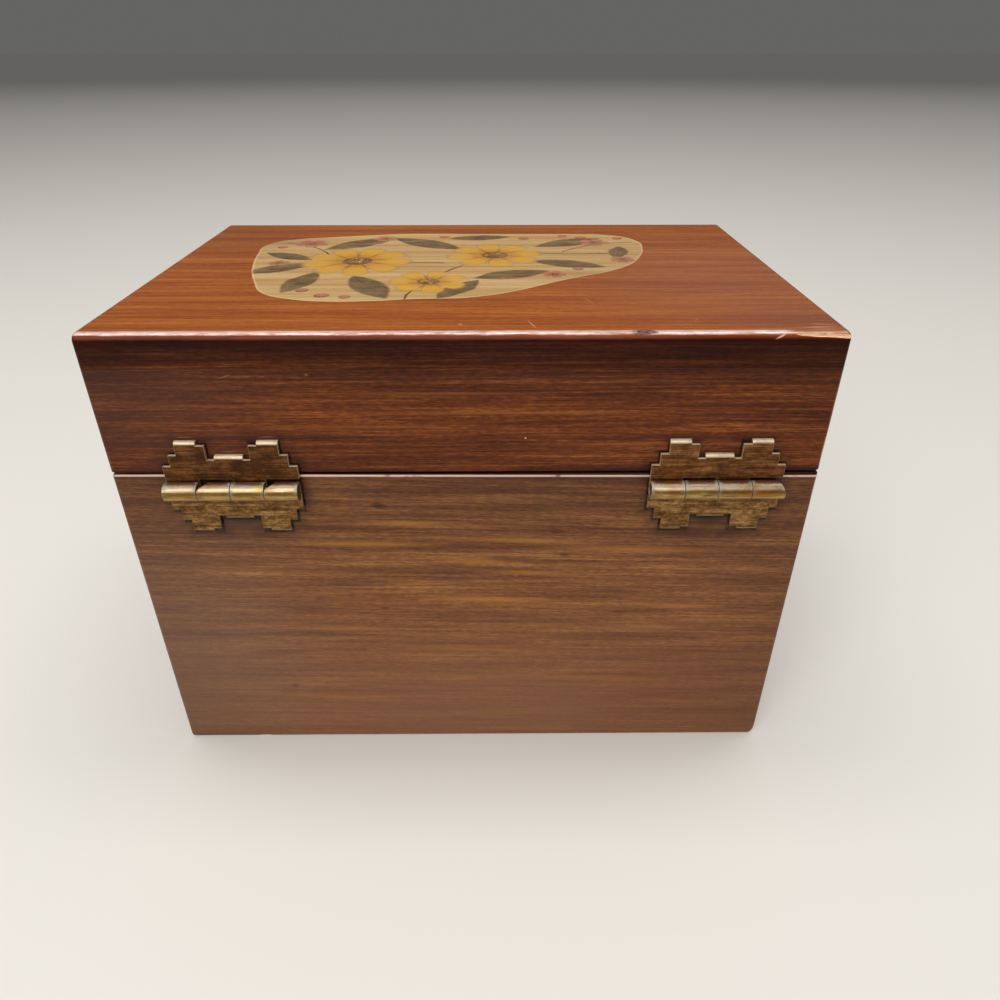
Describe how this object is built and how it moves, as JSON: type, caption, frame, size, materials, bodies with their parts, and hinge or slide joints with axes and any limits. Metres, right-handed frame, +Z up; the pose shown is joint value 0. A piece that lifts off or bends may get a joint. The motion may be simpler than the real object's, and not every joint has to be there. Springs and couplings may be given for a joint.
{
  "type": "recipe card box",
  "caption": "Lacquered wooden box for index cards: rebated walls, an overlay lid board with rounded edges, and a lid hung at the back on stamped brass hinges with prongs.",
  "frame": {"origin": "middle of the box's underside, under the four walls and not counting the hinges behind them", "axes": "+Z up, +X along the box to the right as seen from its front, +Y towards the back, where the hinges are"},
  "size_m": [0.146, 0.1042, 0.1075],
  "materials": {
    "stained_wood": "dark red-brown stain under a worn satin lacquer",
    "stained_top_wood": "orange-brown stain under gloss lacquer, with an unstained straw-coloured reserve",
    "bare_wood": "bare, matt",
    "antique_brass": "antiqued, rubbed bright on the knuckles",
    "pin_wire": "drawn wire, satin"
  },
  "bodies": {
    "box": {"body_front_board": "stained_wood", "body_back_board": "stained_wood", "body_left_board": "stained_wood", "body_right_board": "stained_wood", "body_bottom_board": "bare_wood", "left_hinge_body_leaf": "antique_brass", "right_hinge_body_leaf": "antique_brass", "left_hinge_pin": "pin_wire", "right_hinge_pin": "pin_wire"},
    "lid": {"lid_front_board": "stained_wood", "lid_back_board": "stained_wood", "lid_left_board": "stained_wood", "lid_right_board": "stained_wood", "lid_top_board": "stained_top_wood", "left_hinge_lid_leaf": "antique_brass", "right_hinge_lid_leaf": "antique_brass"}
  },
  "joints": [
    {"name": "lid_hinge", "type": "hinge", "parent": "box", "child": "lid", "pos_m": [0, 0.05225, 0.075], "axis": [-1, 0, 0], "range_deg": [0, 188]}
  ]
}
